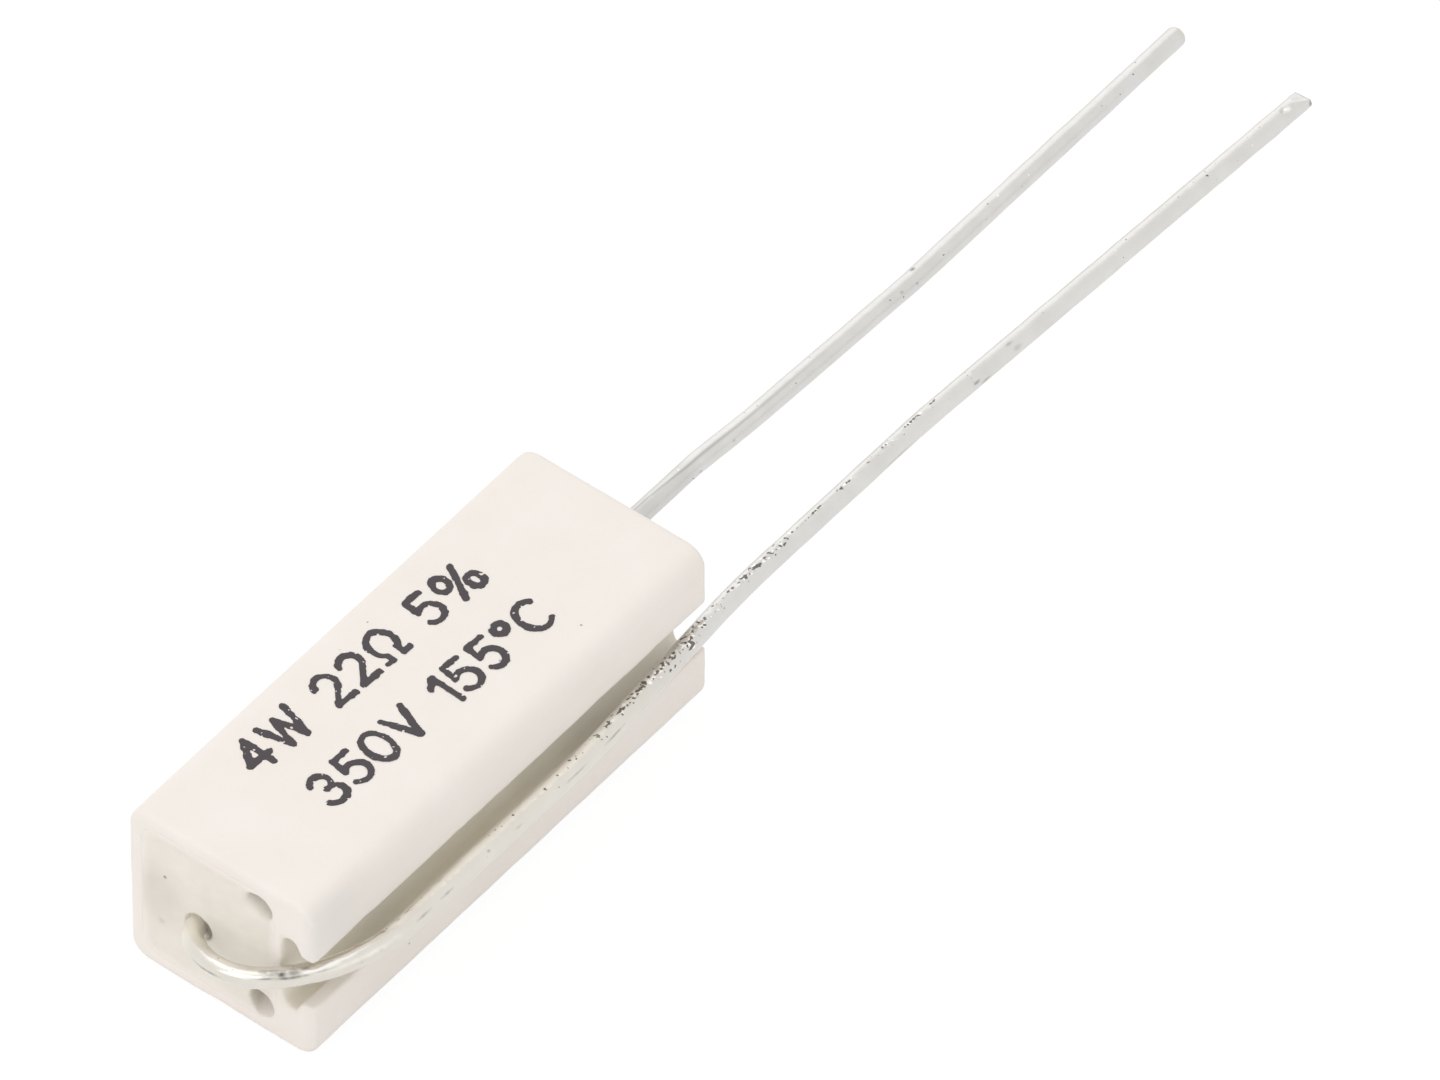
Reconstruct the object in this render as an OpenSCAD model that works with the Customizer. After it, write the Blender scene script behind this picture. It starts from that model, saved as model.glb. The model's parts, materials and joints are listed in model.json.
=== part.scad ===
// Ceramic-cased wirewound power resistor with both leads at one end.
// The origin is the centre of the case's resting face. +X runs along the case towards
// the end that both leads point to, -Y is the grooved side and +Z the marked face.
// All sizes are in millimetres.

/* [Ceramic case] */
// Length of the case along the leads
case_length = 22; // [20:0.5:40]
// Width of the case across the marked face
case_width = 8.4; // [8.2:0.1:12]
// Height of the case from the resting face to the marked face
case_height = 7.7; // [7.2:0.1:11]
// Radius along the four long edges of the case
case_edge_radius = 0.85; // [0.4:0.05:1.1]
// Bevel round both end faces of the case
case_end_bevel = 0.12; // [0.05:0.01:0.25]
// Wall between the cavity and the top, the bottom and the plain side
case_wall = 0.65; // [0.5:0.05:0.9]
// Radius along the four corners of the cavity
cavity_corner_radius = 0.7; // [0.3:0.05:1]

/* [Lead groove] */
// Depth of the groove from the side face to its back wall
groove_depth = 1.45; // [1.2:0.05:1.7]
// Web of ceramic between the groove and the cavity
groove_web = 0.4; // [0.3:0.05:0.8]
// Height of the gap between the two lips
groove_mouth_height = 2.4; // [2:0.1:3]
// Height of the undercut space behind the lips
groove_inner_height = 3.6; // [3.2:0.1:4]
// Thickness of a lip at its free edge
lip_edge_thickness = 0.62; // [0.45:0.02:0.7]
// Thickness of a lip at its root
lip_root_thickness = 0.92; // [0.75:0.02:1]
// Radius of the lips' outer edges
lip_edge_radius = 0.2; // [0.1:0.05:0.3]
// Radius of the two corners at the back of the groove
groove_corner_radius = 0.35; // [0.15:0.05:0.4]

/* [Wound element] */
// Distance of the element's axis from the middle of the case, away from the groove
element_offset = 1.25; // [1.1:0.05:1.3]
// Height of the element's axis above the resting face
element_height = 3.3; // [3.2:0.1:4]
// Diameter of the ceramic core rod
core_diameter = 2.8; // [2:0.1:3]
// Cover of cement between each end of the core rod and the end of the case
core_end_cover = 4; // [3:0.25:5]
// Diameter of the resistance wire
winding_wire_diameter = 0.2; // [0.14:0.02:0.24]
// Distance from one turn of the winding to the next
winding_pitch = 0.5; // [0.4:0.05:1]
// Distance that the winding runs on over the skirt of each end cap
winding_on_cap = 0.6; // [0.4:0.1:1]

/* [End caps] */
// Thickness of the end cap's skirt round the core rod
cap_skirt_wall = 0.25; // [0.15:0.05:0.35]
// Length of the end cap's skirt along the core rod
cap_skirt_length = 1.6; // [1.3:0.1:2.4]
// Thickness of the end cap's floor, which the lead is welded to
cap_floor = 0.4; // [0.2:0.05:0.6]
// Radius of the outer edge of the end cap's floor
cap_edge_radius = 0.18; // [0.05:0.01:0.2]

/* [Leads] */
// Diameter of both lead wires
lead_diameter = 0.8; // [0.6:0.05:0.8]
// Distance that the straight lead reaches past the case
lead_reach = 33.4; // [28:0.1:50]
// Distance by which the return lead ends short of the straight lead
return_lead_shortfall = 0.6; // [0:0.1:3]
// Diameter of the weld between a lead and its end cap
weld_diameter = 1.3; // [0.9:0.1:2]
// Length over which the weld thins down to the lead
weld_length = 0.35; // [0.2:0.05:0.6]
// Radius of the edge round the straight lead's tip
rounded_tip_radius = 0.25; // [0.1:0.05:0.25]
// Length of the return lead's tip that the cutters squeezed
cropped_tip_length = 0.65; // [0.3:0.05:1]
// Thickness of the return lead's end after cutting
cropped_end_thickness = 0.3; // [0.1:0.05:0.5]

/* [Loop of the return lead] */
// Depth inside the case at which the return lead starts to bend
loop_start_depth = 0.37; // [0.2:0.01:0.45]
// Radius of the first bend, at the case's end face
loop_first_radius = 1.2; // [1:0.05:1.5]
// Turn of the first bend, in degrees
loop_first_turn = 55; // [50:1:62]
// Turn of the middle bend, in degrees
loop_middle_turn = 70; // [62:1:76]
// Radius of the last bend, where the lead settles beside the groove
loop_last_radius = 5.7; // [5:0.1:7]
// Distance from the side face out to the middle of the lead past the loop
lead_proud = 0.9; // [0.8:0.01:1.1]
// Height of the middle of the lead past the loop above the resting face
groove_lead_height = 4.35; // [4.1:0.05:4.5]

/* [Hand bends of the leads] */
// Radius of the slight bends in both leads
hand_bend_radius = 40; // [20:5:60]
// Radius of the sharper bend in the straight lead, near the case
kink_radius = 15; // [8:1:25]
// Distance before the case's far end at which the return lead starts to lean in
lean_start = 9.9; // [7:0.1:11]
// Angle by which the return lead leans in, in degrees
lean_in_turn = 5.1; // [3:0.1:6]
// Length of the return lead that leans in
lean_in_length = 6; // [4:0.1:7]
// Angle by which the return lead bends back, in degrees
lean_back_turn = 5.4; // [3:0.1:6.5]
// Length of the return lead that runs level past the case
level_length = 7.6; // [5:0.1:10]
// Angle by which the return lead's last stretch splays out, in degrees
splay_turn = 2.7; // [0.5:0.1:4]
// Distance from the case to the straight lead's kink
kink_distance = 5.5; // [2:0.1:7]
// Angle of the straight lead's kink, in degrees
kink_turn = 4.5; // [3:0.1:6]
// Length of the straight lead past its kink
kink_length = 1.4; // [1:0.1:4]
// Angle of the next bend, which turns the straight lead back, in degrees
first_return_turn = 2.4; // [1:0.1:3]
// Length of the straight lead between its last two bends
middle_length = 7.2; // [5:0.1:10]

/* [Cement] */
// Depth of the cement's end faces below the ends of the case
cement_recess = 0.1; // [0.05:0.05:0.2]
// Radius of the two round voids in the cement beside the groove
void_radius = 0.58; // [0.4:0.02:0.66]
// Skin of cement between each void and the walls of the cavity
void_skin = 0.06; // [0.04:0.01:0.2]
// Depth of the two voids below the end of the case
void_depth = 1.7; // [1:0.1:2.5]
// Radius of the open pocket round the return lead where it leaves the cement
pocket_radius = 0.56; // [0.54:0.01:0.7]
// Depth of that pocket below the end of the case
pocket_depth = 0.7; // [0.6:0.1:1.5]
// Distance of that pocket's middle from the lead's axis, towards the groove
pocket_shift = 0.12; // [0.1:0.01:0.13]

/* [Hidden] */

// Clearance between pieces that touch on a curved face
seat_gap = 0.01;
// Overshoot of cutting solids past the faces they cut
cut_margin = 0.5;
// Each run of a lead stops this far short of the next, and a ring that stands out
// by a few micrometres bridges the seam, so that the lead is one solid.
seam_gap = 0.02;
seam_half_length = 0.05;
seam_rise = 0.004;
round_faces = 64;

half_length = case_length / 2;
half_width = case_width / 2;
middle_height = case_height / 2;

groove_back_y = -half_width + groove_depth;
cavity_low_y = groove_back_y + groove_web;
cavity_high_y = half_width - case_wall;
cavity_width = cavity_high_y - cavity_low_y;
cavity_height = case_height - 2 * case_wall;

lead_radius = lead_diameter / 2;
core_radius = core_diameter / 2;
core_half = half_length - core_end_cover;
cap_bore_radius = core_radius + seat_gap;
cap_radius = cap_bore_radius + cap_skirt_wall;
cap_rim_x = core_half - cap_skirt_length;
cap_face_x = core_half + cap_floor;

// The winding is swept as a tube with these flat faces round it and rings in each turn.
wire_sides = 6;
turn_steps = 18;
wire_radius = winding_wire_diameter / 2;
wire_flat_radius = wire_radius * cos(180 / wire_sides);
winding_half = cap_rim_x + winding_on_cap;
winding_turns = 2 * winding_half / winding_pitch;
winding_steps = ceil(winding_turns * turn_steps);
winding_outer_radius = winding_path_radius(cap_radius) + wire_radius;

// Radius of the path of a wire that lies on a round seat, so that its flat faces
// clear the seat half-way between two rings.
function winding_path_radius(seat_radius) =
    (seat_radius + seat_gap + wire_flat_radius) / cos(180 / turn_steps);

// The wire steps down from cap to core just past the cap's rim.
step_start = cap_rim_x - wire_radius - seat_gap;
step_length = 3 * wire_radius;
function smooth_step(t) = let (u = min(max(t, 0), 1)) u * u * (3 - 2 * u);
function winding_radius(x) =
    let (on_core = winding_path_radius(core_radius),
         on_cap = winding_path_radius(cap_radius),
         share = smooth_step((abs(x) - step_start + step_length) / step_length))
    on_core + (on_cap - on_core) * share;
function winding_point(step, side) =
    let (x = -winding_half + 2 * winding_half * step / winding_steps,
         turn = 360 * winding_turns * step / winding_steps,
         around = 360 * (side + 0.5) / wire_sides,
         radius = winding_radius(x) + wire_radius * cos(around))
    [x + wire_radius * sin(around), radius * cos(turn), radius * sin(turn)];

// The leads are described as a wire former bends them: each run is [length, 0] for
// a straight stretch, or [radius, turn] for a bend, with turns to the left positive.
// The return lead lies in a plane that is tilted about the element's axis, so that it
// clears the corner of the web on its way round to the groove.
loop_reach = element_offset + half_width + lead_proud;
loop_rise = groove_lead_height - element_height;
loop_tilt = atan2(loop_rise, loop_reach);
loop_span = norm([loop_reach, loop_rise]);
loop_last_turn = 180 - loop_first_turn - loop_middle_turn;
loop_middle_radius = (loop_span - loop_first_radius * (1 - cos(loop_first_turn))
                      - loop_last_radius * (1 - cos(loop_last_turn)))
                     / (cos(loop_first_turn) + cos(loop_last_turn));
loop_runs = [
    [core_end_cover - cap_floor - loop_start_depth, 0],
    [loop_first_radius, loop_first_turn],
    [loop_middle_radius, loop_middle_turn],
    [loop_last_radius, loop_last_turn]
];
loop_end = walk_end(loop_runs, -cap_face_x, 180);
groove_run = half_length - lean_start - loop_end[0];
return_shape = concat(loop_runs, [
    [groove_run, 0],
    [hand_bend_radius, lean_in_turn],
    [lean_in_length, 0],
    [hand_bend_radius, -lean_back_turn],
    [level_length, 0],
    [hand_bend_radius, -splay_turn]
]);
return_tip_run = tip_run(return_shape, 180, lead_reach - return_lead_shortfall);
return_runs = concat(return_shape, [[return_tip_run, 0]]);
straight_shape = [
    [core_end_cover - cap_floor + kink_distance, 0],
    [kink_radius, -kink_turn],
    [kink_length, 0],
    [hand_bend_radius, first_return_turn],
    [middle_length, 0],
    [hand_bend_radius, kink_turn - first_return_turn]
];
straight_runs = concat(straight_shape, [[tip_run(straight_shape, 0, lead_reach), 0]]);

// End of a bent wire that starts on the element's axis, as [x, y, heading].
function walk_end(runs, x, heading, y = 0, i = 0) =
    i == len(runs) ? [x, y, heading] :
    let (size = runs[i][0], turn = runs[i][1], next = heading + turn, side = sign(turn))
    turn == 0
        ? walk_end(runs, x + size * cos(heading), heading, y + size * sin(heading), i + 1)
        : walk_end(runs, x + side * size * (sin(next) - sin(heading)), next,
                   y - side * size * (cos(next) - cos(heading)), i + 1);

// Straight stretch that carries a bent wire out to its full reach past the case.
function tip_run(runs, heading, reach) =
    let (start = heading == 0 ? cap_face_x : -cap_face_x,
         end = walk_end(runs, start, heading))
    (half_length + reach - end[0]) / cos(end[2]);

// Rectangle with rounded corners, centred on the origin.
module rounded_rectangle(width, height, radius) {
    square([width - 2 * radius, height], center = true);
    square([width, height - 2 * radius], center = true);
    for (side = [-1, 1], level = [-1, 1])
        translate([side * (width / 2 - radius), level * (height / 2 - radius)])
            circle(r = radius, $fn = round_faces);
}

// Extrudes a section drawn in Y and Z along X, centred on the origin.
module along_x(length) {
    translate([-length / 2, 0, 0]) rotate([90, 0, 90]) linear_extrude(length) children();
}

// Cylinder along X from x = start to x = end.
module rod_x(start, end, radius) {
    translate([start, 0, 0]) rotate([0, 90, 0])
        cylinder(h = end - start, r = radius, $fn = round_faces);
}

// Moves a piece that is drawn round the X axis onto the element's axis.
module on_element_axis() {
    translate([0, element_offset, element_height]) children();
}

// Plan or side outline of the case, with its four corners bevelled.
module bevelled_outline(width) {
    x = half_length;
    y = width / 2;
    bevel = case_end_bevel;
    polygon([[bevel - x, -y], [x - bevel, -y], [x, bevel - y], [x, y - bevel],
             [x - bevel, y], [bevel - x, y], [-x, y - bevel], [-x, bevel - y]]);
}

// Solid block of the case: its section with rounded long edges and bevelled ends.
module case_block() {
    translate([0, 0, middle_height]) intersection() {
        along_x(case_length) rounded_rectangle(case_width, case_height, case_edge_radius);
        linear_extrude(case_height, center = true) bevelled_outline(case_width);
        rotate([90, 0, 0]) linear_extrude(case_width, center = true)
            bevelled_outline(case_height);
    }
}

// Section of the groove: an undercut behind two lips, open towards -Y.
module groove_section() {
    side_y = -half_width;
    mouth = groove_mouth_height / 2;
    inner = groove_inner_height / 2;
    corner = groove_corner_radius;
    flare = mouth + lip_edge_radius;
    translate([side_y - cut_margin, -mouth])
        square([cut_margin + groove_depth - corner, groove_mouth_height]);
    polygon([[side_y + lip_edge_thickness, -mouth], [side_y + lip_root_thickness, -inner],
             [groove_back_y - corner, -inner], [groove_back_y, corner - inner],
             [groove_back_y, inner - corner], [groove_back_y - corner, inner],
             [side_y + lip_root_thickness, inner], [side_y + lip_edge_thickness, mouth]]);
    for (level = [-1, 1])
        translate([groove_back_y - corner, level * (inner - corner)])
            circle(r = corner, $fn = round_faces);
    difference() {
        translate([side_y - cut_margin, -flare])
            square([cut_margin + lip_edge_radius, 2 * flare]);
        for (level = [-1, 1])
            translate([side_y + lip_edge_radius, level * flare])
                circle(r = lip_edge_radius, $fn = round_faces);
    }
}

module cavity_section(clearance = 0) {
    translate([(cavity_low_y + cavity_high_y) / 2, middle_height])
        rounded_rectangle(cavity_width - 2 * clearance, cavity_height - 2 * clearance,
                          cavity_corner_radius - clearance);
}

module ceramic_case() {
    color("ivory") difference() {
        case_block();
        translate([0, 0, middle_height])
            along_x(case_length + 2 * cut_margin) groove_section();
        along_x(case_length + 2 * cut_margin) cavity_section();
    }
}

// Two round voids in the cement's near end, in the corners beside the groove.
module cement_voids() {
    inset = void_skin + void_radius;
    for (level = [-1, 1])
        translate([0, cavity_low_y + inset, middle_height + level * (cavity_height / 2 - inset)])
            rod_x(-half_length - cut_margin, void_depth - half_length, void_radius);
}

// Space that the wound element, its caps, welds and leads take up in the cement.
module element_space() {
    cap_space = cap_radius + seat_gap;
    rod_x(-winding_half - wire_radius - seat_gap, winding_half + wire_radius + seat_gap,
          winding_outer_radius + seat_gap);
    rod_x(-cap_face_x, cap_face_x, cap_space);
    rod_x(-half_length - cut_margin, half_length + cut_margin, lead_radius + seat_gap);
    for (side = [0, 1])
        mirror([side, 0, 0])
            translate([cap_face_x, 0, 0]) rotate([0, 90, 0])
                cylinder(h = weld_length, r1 = weld_diameter / 2 + seat_gap,
                         r2 = lead_radius + seat_gap, $fn = round_faces);
}

module cement_fill() {
    color("gainsboro") difference() {
        along_x(case_length - 2 * cement_recess) cavity_section(seat_gap);
        cement_voids();
        on_element_axis() {
            element_space();
            translate([0, -pocket_shift, 0])
                rod_x(-half_length - cut_margin, pocket_depth - half_length, pocket_radius);
        }
    }
}

module core_rod() {
    color("white") on_element_axis() rod_x(-core_half, core_half, core_radius);
}

module resistance_winding() {
    rings = [for (step = [0:winding_steps], side = [0:wire_sides - 1])
             winding_point(step, side)];
    sides = [for (step = [0:winding_steps - 1], side = [0:wire_sides - 1])
             let (next = (side + 1) % wire_sides, ring = step * wire_sides)
             [ring + side, ring + next, ring + wire_sides + next, ring + wire_sides + side]];
    first_end = [for (side = [wire_sides - 1:-1:0]) side];
    last_end = [for (side = [0:wire_sides - 1]) winding_steps * wire_sides + side];
    color("dimgray") on_element_axis()
        polyhedron(points = rings, faces = concat(sides, [first_end, last_end]));
}

// Cup pressed over the core rod's far end, with its floor towards +X.
module end_cap() {
    edge = cap_edge_radius;
    rotate([0, 90, 0]) rotate_extrude($fn = round_faces) {
        translate([cap_bore_radius, cap_rim_x])
            square([cap_skirt_wall, core_half - cap_rim_x]);
        translate([0, core_half]) square([cap_radius, cap_floor - edge]);
        translate([0, core_half]) square([cap_radius - edge, cap_floor]);
        translate([cap_radius - edge, cap_face_x - edge]) circle(r = edge, $fn = round_faces);
    }
}

module near_end_cap() {
    color("silver") on_element_axis() mirror([1, 0, 0]) end_cap();
}

module far_end_cap() {
    color("silver") on_element_axis() end_cap();
}

// Ring round the seam at the origin between two runs of lead.
module seam_ring() {
    rod_x(-seam_half_length, seam_half_length, lead_radius + seam_rise);
}

// Bend of a lead from the origin, turning to the left about a centre on +Y.
module left_bend(radius, turn) {
    translate([0, radius, 0]) rotate([0, 0, -90])
        rotate_extrude(angle = turn, $fn = round_faces)
            translate([radius, 0]) circle(r = lead_radius, $fn = round_faces);
}

// Runs of lead from the origin along +X, each followed by the runs after it, and the
// last one by the child, which is a tip of the given length.
module lead_runs(runs, tip_length, i = 0) {
    size = runs[i][0];
    turn = runs[i][1];
    is_last = i == len(runs) - 1;
    side = sign(turn);
    if (turn == 0) {
        rod_x(0, size - (is_last ? tip_length : seam_gap), lead_radius);
        if (is_last) translate([size - tip_length, 0, 0]) children();
        else translate([size, 0, 0]) {
            seam_ring();
            lead_runs(runs, tip_length, i + 1) children();
        }
    } else {
        stop_turn = abs(turn) - seam_gap / size * 180 / PI;
        mirror([0, side > 0 ? 0 : 1, 0]) left_bend(size, stop_turn);
        translate([0, side * size, 0]) rotate([0, 0, turn]) translate([0, -side * size, 0]) {
            seam_ring();
            lead_runs(runs, tip_length, i + 1) children();
        }
    }
}

// Weld between the end cap's floor and the start of a lead along +X.
module weld() {
    rotate([0, 90, 0])
        cylinder(h = weld_length, r1 = weld_diameter / 2, r2 = lead_radius, $fn = round_faces);
}

// Tip along +X with a rounded edge.
module rounded_tip() {
    edge = rounded_tip_radius;
    rotate([0, 90, 0]) rotate_extrude($fn = round_faces) {
        square([lead_radius - edge, edge]);
        intersection() {
            square([lead_radius, edge]);
            translate([lead_radius - edge, 0]) circle(r = edge, $fn = round_faces);
        }
    }
}

// Tip along +X that the cutters squeezed from above and below to a blunt edge.
module cropped_tip() {
    blunt = cropped_end_thickness / 2;
    intersection() {
        rod_x(0, cropped_tip_length, lead_radius);
        rotate([90, 0, 0]) linear_extrude(2 * lead_diameter, center = true)
            polygon([[0, -lead_radius], [cropped_tip_length, -blunt],
                     [cropped_tip_length, blunt], [0, lead_radius]]);
    }
}

module straight_lead() {
    color("lightgray") on_element_axis() translate([cap_face_x, 0, 0]) {
        weld();
        lead_runs(straight_runs, rounded_tip_radius) rounded_tip();
    }
}

module return_lead() {
    color("lightgray") on_element_axis() rotate([-loop_tilt, 0, 0])
        translate([-cap_face_x, 0, 0]) rotate([0, 0, 180]) {
            weld();
            lead_runs(return_runs, cropped_tip_length) cropped_tip();
        }
}

ceramic_case();
cement_fill();
core_rod();
resistance_winding();
near_end_cap();
far_end_cap();
straight_lead();
return_lead();
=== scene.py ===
"""Looks of a ceramic-cased power resistor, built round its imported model.

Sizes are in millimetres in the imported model's frame: +X along the case towards the end
that both leads point to, -Y the grooved side and +Z the marked face. Meshes are turned
into metres as they are made. A layer of noise is its depth, its cell and its seed.
"""
import json
import math

import bpy
import numpy as np
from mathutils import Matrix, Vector


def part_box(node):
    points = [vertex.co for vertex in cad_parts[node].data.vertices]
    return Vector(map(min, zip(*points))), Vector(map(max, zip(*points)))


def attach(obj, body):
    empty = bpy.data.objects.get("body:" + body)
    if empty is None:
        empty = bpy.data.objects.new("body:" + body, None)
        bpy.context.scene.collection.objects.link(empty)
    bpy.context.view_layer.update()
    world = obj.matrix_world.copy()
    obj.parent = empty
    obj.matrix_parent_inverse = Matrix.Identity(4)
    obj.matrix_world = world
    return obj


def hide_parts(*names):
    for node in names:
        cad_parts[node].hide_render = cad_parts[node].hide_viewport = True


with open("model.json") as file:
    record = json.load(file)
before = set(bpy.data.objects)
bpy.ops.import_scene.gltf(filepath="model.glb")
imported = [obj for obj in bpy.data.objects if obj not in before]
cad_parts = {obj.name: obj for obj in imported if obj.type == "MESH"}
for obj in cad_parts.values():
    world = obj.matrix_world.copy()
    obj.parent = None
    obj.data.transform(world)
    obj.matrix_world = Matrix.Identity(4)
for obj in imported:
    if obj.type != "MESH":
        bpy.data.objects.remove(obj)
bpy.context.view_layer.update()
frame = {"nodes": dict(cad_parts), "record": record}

MM = 0.001
TINY = 1e-9

# Camera and photograph
PHOTO_WIDTH = 1440
SENSOR_WIDTH = 36.0
CAMERA_AZIMUTH = -51.399
CAMERA_ELEVATION = 47.802
CAMERA_DISTANCE = 1000.0
CAMERA_TARGET = (17.135, 0.134, 0.0)
PIXELS_PER_MM = 28.076
CLIP_START = 50.0
CLIP_END = 10000.0

# Case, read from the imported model
case_low, case_high = (np.array(corner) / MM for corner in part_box("ceramic_case"))
CASE_LENGTH, CASE_WIDTH, CASE_HEIGHT = case_high - case_low
HALF_LENGTH = CASE_LENGTH / 2
HALF_WIDTH = CASE_WIDTH / 2
MIDDLE_HEIGHT = CASE_HEIGHT / 2

# Section of the case
EDGE_RADIUS = 0.85
CASE_WALL = 0.65
CAVITY_RADIUS = 0.7
GROOVE_DEPTH = 1.45
GROOVE_WEB = 0.4
GROOVE_MOUTH = 2.4
GROOVE_INNER = 3.6
LIP_EDGE = 0.62
LIP_ROOT = 0.92
GROOVE_BACK = -HALF_WIDTH + GROOVE_DEPTH
CAVITY_LOW = GROOVE_BACK + GROOVE_WEB
CAVITY_HIGH = HALF_WIDTH - CASE_WALL

# Softened edges of the case
END_ROUNDING = 0.22
CAVITY_ROUNDING = 0.1
MOUTH_ROUNDING = 0.14
LIP_EDGE_ROUNDING = 0.12
LIP_BACK_ROUNDING = 0.15
GROOVE_CORNER_ROUNDING = 0.5

# Pressed ceramic, uneven in a skin about its surface and shrunk a little inside it
CERAMIC_SKIN = 0.4
CERAMIC_SHRINK = 0.012
CERAMIC_BUMPS = ((0.012, 1.7, 11), (0.006, 0.45, 12))

# Element's axis and leads
AXIS_Y = 1.25
AXIS_Z = 3.3
ELEMENT_ROOM_RADIUS = 1.95
LEAD_RADIUS = 0.4
LEAD_REACH = 33.4
RETURN_LEAD_REACH = 32.8
CAP_FACE = HALF_LENGTH - 3.6

# Cement's face, which dips from the rim inwards
CEMENT_RECESS = 0.1
RIM_RECESS = 0.02
DIP_WIDTH = 0.5
CEMENT_BUMPS = ((0.03, 0.9, 22), (0.014, 0.3, 23))
RIM_BUMPS = 0.25
RAGGED_DEPTH = 0.05

# Thin lap of cement over the case's rim, falling away outwards
CEMENT_LAP = 0.1
LAP_DEPTH = 0.3
LAP_SLOPE = 0.35

# Voids in two corners of the near end, deep on one side and shallow on the other. Their
# edges are rounded by stops across the slant, and by less near the cavity's wall.
VOID_RADIUS = 0.58
VOID_INSET = 0.64
VOID_DEPTH = 1.7
VOID_SHALLOW_DEPTH = 0.2
VOID_SLANT_ACROSS, VOID_SLANT_UP = 0.49, 0.87
VOID_FLOOR_ROUNDING = 0.3
VOID_EDGE_ROUNDING = ((-0.5, 0.06), (0.5, 0.4))
VOID_WALL_ZONE = 0.4
VOID_WALL_ROUNDING = 0.15
VOID_RAGGEDNESS = 0.7

# Pocket round the lead at the same end
POCKET_RADIUS = 0.56
POCKET_DEPTH = 0.24
POCKET_SHIFT = 0.12
POCKET_ROUNDING = 0.12
POCKET_RAGGEDNESS = 0.5


# Fields and curves

NOISE_CELLS = 32


def smooth_noise(points, cell, seed):
    """Smooth random field from -1 to 1 with bumps about one cell wide."""
    lattice = np.random.default_rng(seed).uniform(-1, 1, (NOISE_CELLS,) * 3)
    at = points / cell
    low = np.floor(at).astype(int)
    share = at - low
    share = share * share * (3 - 2 * share)
    total = np.zeros(points.shape[:-1])
    for corner in np.ndindex(2, 2, 2):
        weight = np.prod(np.where(corner, share, 1 - share), axis=-1)
        x, y, z = np.moveaxis((low + corner) % NOISE_CELLS, -1, 0)
        total += weight * lattice[x, y, z]
    return total


def layered_noise(points, layers):
    """Sum of several layers of noise."""
    return sum(depth * smooth_noise(points, cell, seed) for depth, cell, seed in layers)


def mottle(points, depth, cell, seed):
    """Factor that varies smoothly about 1 - depth, by depth each way."""
    return 1 - depth + depth * smooth_noise(points, cell, seed)


def rising(value, start, width):
    """0 up to the start, rising evenly to 1 over the width after it."""
    return np.clip((value - start) / width, 0, 1)


def falling(value, width, reach=1.0):
    """1 near nought, falling evenly over one width to 0 at reach widths."""
    return np.clip(reach - value / width, 0, 1)


def bell(value, middle, spread):
    """Bell curve, 1 at its middle."""
    return np.exp(-((value - middle) / spread) ** 2)


def profile(value, stops):
    """Height on the straight lines between stops of (place, height)."""
    places, heights = zip(*stops)
    return np.interp(value, places, heights)


def smooth_max(first, second, soft):
    """Larger of two fields, blended where they differ by less than soft."""
    gap = np.maximum(soft - np.abs(first - second), 0)
    return np.maximum(first, second) + gap * gap / (4 * soft)


def smooth_min(first, second, soft):
    """Smaller of two fields, blended in the same way."""
    return -smooth_max(-first, -second, soft)


def rounded_box(across, up, width, height, radius):
    """Distance from the outline of a rounded rectangle, negative inside."""
    out_x = np.abs(across) - width / 2 + radius
    out_y = np.abs(up) - height / 2 + radius
    corner = np.hypot(np.maximum(out_x, 0), np.maximum(out_y, 0))
    return corner + np.minimum(np.maximum(out_x, out_y), 0) - radius


# Meshes

def surface_mesh(field, axes):
    """Points and outward faces of the surface on which a sampled field is nought.

    Each grid cell that the surface crosses gets one point, the mean of the crossings of
    the cell's edges, and each grid edge that crosses the surface gets one face.
    """
    inside = field < 0
    shape = tuple(n - 1 for n in field.shape)
    corners = list(np.ndindex(2, 2, 2))
    count = np.zeros(shape, int)
    for i, j, k in corners:
        count += inside[i:i + shape[0], j:j + shape[1], k:k + shape[2]]
    crossed = (count > 0) & (count < len(corners))
    number = np.full(shape, -1)
    number[crossed] = np.arange(crossed.sum())
    cells = np.argwhere(crossed)
    total = np.zeros((len(cells), 3))
    hits = np.zeros(len(cells))
    for first in corners:
        for axis in range(3):
            if first[axis]:
                continue
            second = tuple(v + (n == axis) for n, v in enumerate(first))
            here, there = cells + first, cells + second
            a = field[tuple(here.T)]
            b = field[tuple(there.T)]
            cut = (a < 0) != (b < 0)
            share = np.where(cut, a / np.where(cut, a - b, 1), 0)
            start = np.stack([axes[n][here[:, n]] for n in range(3)], 1)
            end = np.stack([axes[n][there[:, n]] for n in range(3)], 1)
            total[cut] += (start + share[:, None] * (end - start))[cut]
            hits += cut
    points = total / hits[:, None]
    step = np.eye(3, dtype=int)
    faces = []
    for axis in range(3):
        ahead = tuple(slice(1, None) if n == axis else slice(None) for n in range(3))
        behind = tuple(slice(None, -1) if n == axis else slice(None) for n in range(3))
        at = np.argwhere(inside[ahead] != inside[behind])
        u, v = step[(axis + 1) % 3], step[(axis + 2) % 3]
        around = [at - u - v, at - v, at, at - u]
        quad = np.stack([number[tuple(c.T)] for c in around], 1)
        leaving = inside[behind][tuple(at.T)]
        faces.append(np.where(leaving[:, None], quad, quad[:, ::-1]))
    return points, np.concatenate(faces)


def grid(axes):
    """Points of a grid as an array with a last axis of three."""
    return np.stack(np.meshgrid(*axes, indexing="ij"), -1)


def stepped_axis(start, *stretches):
    """Grid coordinates from start on, through stretches of (end, step)."""
    parts = [[start]]
    for end, step in stretches:
        count = math.ceil((end - start) / step)
        parts.append(np.linspace(start, end, count + 1)[1:])
        start = end
    return np.concatenate(parts)


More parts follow.
